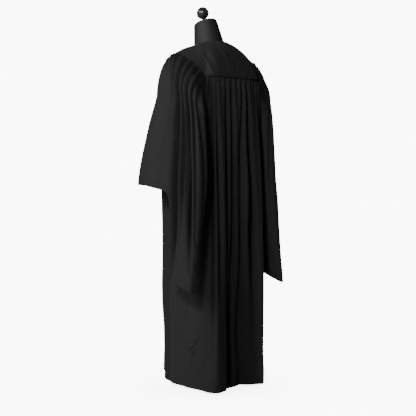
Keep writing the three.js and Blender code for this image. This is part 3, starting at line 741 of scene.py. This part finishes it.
def makeBody():
    halfGap = cloth["seamGap"] / 2 / levels["foldGirth"]
    start, reach = body["spreadStart"], levels["sideSeam"] - halfGap
    low = steps(0.2, 0.66, 40)[1:] + steps(0.66, 1, 82)[1:]
    half = steps(0, start, 68) + steps(start, reach, 50)[1:]
    aways = [-away for away in reversed(half[1:])] + half
    back = makePanel("gownBack", "back_panel", 0.5, aways, levels["backSeam"],
                     lambda height: armholeTurn(height, False) + halfGap,
                     steps(0, 0.06, 18) + steps(0.06, 0.2, 22)[1:] + low)
    half = steps(levels["frontEdge"], start, 34) + steps(start, reach, 44)[1:]
    rows = steps(0, 0.2, 34) + low
    left = makePanel("gownLeftFront", "left_front", 0, half, levels["frontSeam"],
                     lambda height: armholeTurn(height, True) - halfGap, rows)
    aways = [-away for away in reversed(half)]
    right = makePanel("gownRightFront", "right_front", 1, aways, levels["frontSeam"],
                      lambda height: 1 - armholeTurn(height, True) + halfGap, rows)
    return back, left, right


def makeSleeve(name, node, side):
    # more columns where the folds lie close together
    turns = [0.0]
    for end, count in sleeve["columns"]:
        turns += steps(turns[-1], end, count)[1:]
    rows = steps(0, sleeve["headShare"], 34) + steps(sleeve["headShare"], 1, 80)[1:]
    x, y = sleeve["middle"]
    return clothPiece(name, node, turns, rows, lambda turn, fall: sleevePoint(turn, fall, side),
                      lambda at: Vector((at.x - x * side, at.y - y, 0)), closed=True,
                      shade=lambda turn, fall: sleeveShade(turn, fall, side))


gownYoke = makeYoke()
gownBack, gownLeftFront, gownRightFront = makeBody()
gownLeftSleeve = makeSleeve("gownLeftSleeve", "left_sleeve", 1)
gownRightSleeve = makeSleeve("gownRightSleeve", "right_sleeve", -1)


# Finial

finial = {
    "top": (0, -0.0226, 1.339),
    "lean": 20.0,  # degrees
    "ball": 0.023,
    "stem": 0.0055,
    "stemLength": 0.018,
    "collar": [(0.0, 0.0003), (0.009, 0.0003), (0.0088, 0.0012), (0.008, 0.0025), (0.0062, 0.0038)],
    "sides": 64,
}


def makeFinial():
    # a stem with a ball, turned from a profile of (radius, height) and leaned with the neck
    ball, stem = finial["ball"], finial["stem"]
    start = math.asin(stem / ball)
    profile = finial["collar"] + [(stem, 0.005), (stem, 0.012)]
    for angle in steps(math.pi - start, 0, 40):
        profile.append((max(ball * math.sin(angle), 0.0), finial["stemLength"] + ball + ball * math.cos(angle)))
    lean = Matrix.Translation(finial["top"]) @ Matrix.Rotation(math.radians(finial["lean"]), 4, "X")
    mesh = bmesh.new()
    bmesh.ops.create_grid(mesh, x_segments=finial["sides"], y_segments=len(profile) - 1, size=1)
    for vert in mesh.verts:
        turn = (vert.co.x + 1) * math.pi
        radius, height = profile[round((vert.co.y + 1) / 2 * (len(profile) - 1))]
        vert.co = lean @ Vector((radius * math.sin(turn), -radius * math.cos(turn), height))
    bmesh.ops.remove_doubles(mesh, verts=mesh.verts, dist=1e-6)
    bmesh.ops.recalc_face_normals(mesh, faces=mesh.faces)
    for face in mesh.faces:
        face.smooth = True
    obj = makeObject("finialBall", mesh)
    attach(obj, "root")
    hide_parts("finial")
    print("finial ready")
    return obj


finialBall = makeFinial()


# Materials

class Socket:
    # a node socket that can be used in a sum
    def __init__(self, tree, link):
        self.tree, self.link = tree, link

    def join(self, operation, *values):
        return self.tree.add("ShaderNodeMath", {"operation": operation}, dict(enumerate(values)))

    def __add__(self, other):
        return self.join("ADD", self, other)

    def __sub__(self, other):
        return self.join("SUBTRACT", self, other)

    def __rsub__(self, other):
        return self.join("SUBTRACT", other, self)

    def __mul__(self, other):
        return self.join("MULTIPLY", self, other)

    __radd__, __rmul__ = __add__, __mul__

    def sine(self):
        return self.join("SINE", self)

    def isNear(self, value, reach):
        return self.join("COMPARE", self, value, reach)


class Shader:
    # the nodes of a material or a world
    def __init__(self, owner):
        owner.use_nodes = True
        self.owner = owner
        self.tree = owner.node_tree
        self.tree.nodes.clear()

    def add(self, kind, settings=None, values=None, output=0):
        node = self.tree.nodes.new(kind)
        for key, value in (settings or {}).items():
            if key == "stops":
                ramp = node.color_ramp
                while len(ramp.elements) < len(value):
                    ramp.elements.new(0.5)
                for element, (position, shade) in zip(ramp.elements, value):
                    element.position, element.color = position, (shade, shade, shade, 1)
            else:
                setattr(node, key, value)
        for key, value in (values or {}).items():
            if isinstance(value, Socket):
                self.tree.links.new(value.link, node.inputs[key])
            else:
                node.inputs[key].default_value = value
        return Socket(self, node.outputs[output]) if node.outputs else None

    def colours(self, factor, first, second):
        values = {0: factor, 6: first, 7: second}
        return self.add("ShaderNodeMix", {"data_type": "RGBA"}, values, 2)

    def finish(self, values):
        surface = self.add("ShaderNodeBsdfPrincipled", {}, values)
        self.add("ShaderNodeOutputMaterial", {}, {"Surface": surface})
        return self.owner


gownFinish = {
    "dark": (0.0115, 0.0115, 0.0112, 1),
    "light": (0.0185, 0.0185, 0.018, 1),
    # the colour of the painted fold shade and of the stitch line
    "foldShadeAndStitchColour": (0.001, 0.001, 0.001, 1),
    "threadPitch": 0.0007,
    "weaveDepth": 0.00006,
    "slubDepth": 0.0004,
    "foldShade": 0.85,
    "stitchWidth": 0.0024,
    "stitchShade": 0.3,
    "sheen": 0.02,
    "sheenRoughness": 0.45,
}


def gownCloth(name, stitchAt):
    # a woven cloth with painted shade in its folds, and a line of stitches at a distance from its lower edge
    s = Shader(bpy.data.materials.new(name))
    uv = s.add("ShaderNodeUVMap", {"uv_map": "cloth"})
    across = s.add("ShaderNodeSeparateXYZ", {}, {0: uv})
    down = s.add("ShaderNodeSeparateXYZ", {}, {0: uv}, 1)
    pitch = 2 * math.pi / gownFinish["threadPitch"]
    weave = (across * pitch).sine() * (down * pitch).sine()
    place = s.add("ShaderNodeTexCoord", {}, {}, 3)
    cloudy = s.add("ShaderNodeTexNoise", {}, {"Vector": place, "Scale": 7.0, "Detail": 4.0, "Roughness": 0.6})
    fibre = s.add("ShaderNodeTexNoise", {}, {"Vector": place, "Scale": 420.0, "Detail": 3.0, "Roughness": 0.7})
    shade = cloudy * 0.55 + fibre * 0.3 + weave * 0.08
    plain = s.colours(shade, gownFinish["dark"], gownFinish["light"])
    # painted shade: the colour turns darker in the folds, by the share in the second UV map
    foldAt = s.add("ShaderNodeUVMap", {"uv_map": "fold"})
    inFold = s.add("ShaderNodeSeparateXYZ", {}, {0: foldAt})
    withFoldShade = s.colours(inFold * gownFinish["foldShade"], plain, gownFinish["foldShadeAndStitchColour"])
    fromHem = s.add("ShaderNodeSeparateXYZ", {}, {0: foldAt}, 1)
    stitches = fromHem.isNear(stitchAt, gownFinish["stitchWidth"] / 2)
    colour = s.colours(stitches * gownFinish["stitchShade"], withFoldShade, gownFinish["foldShadeAndStitchColour"])
    slub = s.add("ShaderNodeTexNoise", {}, {"Vector": place, "Scale": 55.0, "Detail": 4.0, "Roughness": 0.55})
    soft = s.add("ShaderNodeBump", {}, {"Strength": 0.35, "Distance": gownFinish["slubDepth"], "Height": slub})
    bump = s.add("ShaderNodeBump", {}, {
        "Strength": 0.6, "Distance": gownFinish["weaveDepth"], "Height": weave, "Normal": soft})
    return s.finish({
        "Base Color": colour,
        "Roughness": 0.72 + cloudy * 0.2,
        "Sheen Weight": gownFinish["sheen"],
        "Sheen Roughness": gownFinish["sheenRoughness"],
        "Specular IOR Level": 0.2,
        "Normal": bump,
    })


def lacquer(name, shade, roughness, coat):
    s = Shader(bpy.data.materials.new(name))
    place = s.add("ShaderNodeTexCoord", {}, {}, 3)
    grain = s.add("ShaderNodeTexNoise", {}, {"Vector": place, "Scale": 60.0, "Detail": 5.0, "Roughness": 0.6})
    dark, light = (shade * 0.8, shade * 0.8, shade * 0.85, 1), (shade * 1.3, shade * 1.3, shade * 1.4, 1)
    colour = s.colours(grain, dark, light)
    bump = s.add("ShaderNodeBump", {}, {"Strength": 0.15, "Distance": 0.0003, "Height": grain})
    return s.finish({
        "Base Color": colour,
        "Specular IOR Level": 0.3,
        "Roughness": roughness + grain * 0.08,
        "Coat Weight": coat,
        "Coat Roughness": 0.1,
        "Normal": bump,
    })


def formJersey():
    s = Shader(bpy.data.materials.new("formJersey"))
    place = s.add("ShaderNodeTexCoord", {}, {}, 3)
    knit = s.add("ShaderNodeTexWave", {"wave_type": "BANDS", "bands_direction": "Z"}, {
        "Vector": place, "Scale": 280.0, "Distortion": 2.0, "Detail": 2.0})
    colour = s.colours(knit, (0.018, 0.018, 0.02, 1), (0.032, 0.032, 0.035, 1))
    bump = s.add("ShaderNodeBump", {}, {"Strength": 0.3, "Distance": 0.0003, "Height": knit})
    return s.finish({"Base Color": colour, "Roughness": 0.9 - knit * 0.08, "Normal": bump})


def giveMaterial(material, *pieces):
    for piece in pieces:
        piece.data.materials.clear()
        piece.data.materials.append(material)


giveMaterial(gownCloth("gownCloth", body["hemDepth"]), gownBack, gownLeftFront, gownRightFront)
giveMaterial(gownCloth("sleeveCloth", sleeve["hemDepth"]), gownLeftSleeve, gownRightSleeve)
giveMaterial(gownCloth("yokeCloth", yoke["seamStitches"]), gownYoke)
giveMaterial(lacquer("neckLacquer", 0.012, 0.62, 0.0), stand["neck_cap"])
giveMaterial(lacquer("finialGloss", 0.02, 0.22, 0.3), finialBall)
giveMaterial(lacquer("standEnamel", 0.03, 0.35, 0.2), stand["pole"], stand["foot"])
giveMaterial(formJersey(), stand["form_torso"])
print("materials ready")


# Floor and light

stage = {
    "floorSize": 60.0,
    "shade": (1.0, 0.985, 0.95, 1),
    "seenStrength": 10.0,
    "nearShade": (0.35, 0.345, 0.33, 1),  # painted contact shadow of the floor, close to the part
    "nearReach": 0.3,
    "paint": (0.5, 0.5, 0.49, 1),
    "worldFill": 0.015,
    "key": {"toLeft": 2.8, "toCamera": 1.9, "height": 2.5, "aim": 1.0, "size": 1.4, "power": 105},
    "fill": {"toLeft": 0.9, "toCamera": 3.4, "height": 2.3, "aim": 0.85, "size": 0.5, "power": 125},
    "far": {"toLeft": 0.6, "toCamera": -3.4, "height": 2.2, "aim": 0.8, "size": 0.8, "power": 110},
}


def makeStage():
    mesh = bmesh.new()
    bmesh.ops.create_grid(mesh, x_segments=1, y_segments=1, size=stage["floorSize"])
    floor = makeObject("floor", mesh)
    s = Shader(bpy.data.materials.new("floorPaint"))
    # painted contact shadow: the floor that the camera sees is darker near the part, by ambient occlusion
    near = s.add("ShaderNodeAmbientOcclusion", {"samples": 8}, {"Distance": stage["nearReach"]}, 1)
    seen = s.colours(near, stage["nearShade"], stage["shade"])
    bright = s.add("ShaderNodeEmission", {}, {"Color": seen, "Strength": stage["seenStrength"]})
    paint = s.add("ShaderNodeBsdfDiffuse", {}, {"Color": stage["paint"]})
    both = s.add("ShaderNodeMixShader", {}, {0: s.add("ShaderNodeLightPath"), 1: paint, 2: bright})
    s.add("ShaderNodeOutputMaterial", {}, {"Surface": both})
    giveMaterial(s.owner, floor)


def makeLight(name, settings):
    angle = math.radians(camera["azimuth"])
    left = Vector((-math.cos(angle), -math.sin(angle), 0))
    near = Vector((math.sin(angle), -math.cos(angle), 0))
    data = bpy.data.lights.new(name, "AREA")
    data.size = settings["size"]
    data.energy = settings["power"]
    obj = bpy.data.objects.new(name, data)
    bpy.context.collection.objects.link(obj)
    across = left * settings["toLeft"] + near * settings["toCamera"]
    obj.location = across + Vector((0, 0, settings["height"]))
    aim = Vector((0, 0, settings["aim"])) - obj.location
    obj.rotation_euler = aim.to_track_quat("-Z", "Y").to_euler()


def makeWorld():
    s = Shader(bpy.data.worlds.new("studio"))
    fill = s.add("ShaderNodeBackground", {}, {"Color": stage["shade"], "Strength": stage["worldFill"]})
    seen = s.add("ShaderNodeBackground", {}, {"Color": stage["shade"], "Strength": stage["seenStrength"]})
    both = s.add("ShaderNodeMixShader", {}, {0: s.add("ShaderNodeLightPath"), 1: fill, 2: seen})
    s.add("ShaderNodeOutputWorld", {}, {"Surface": both})
    bpy.context.scene.world = s.owner


makeStage()
makeWorld()
makeLight("keyLight", stage["key"])
makeLight("fillLight", stage["fill"])
makeLight("farLight", stage["far"])
print("stage ready")
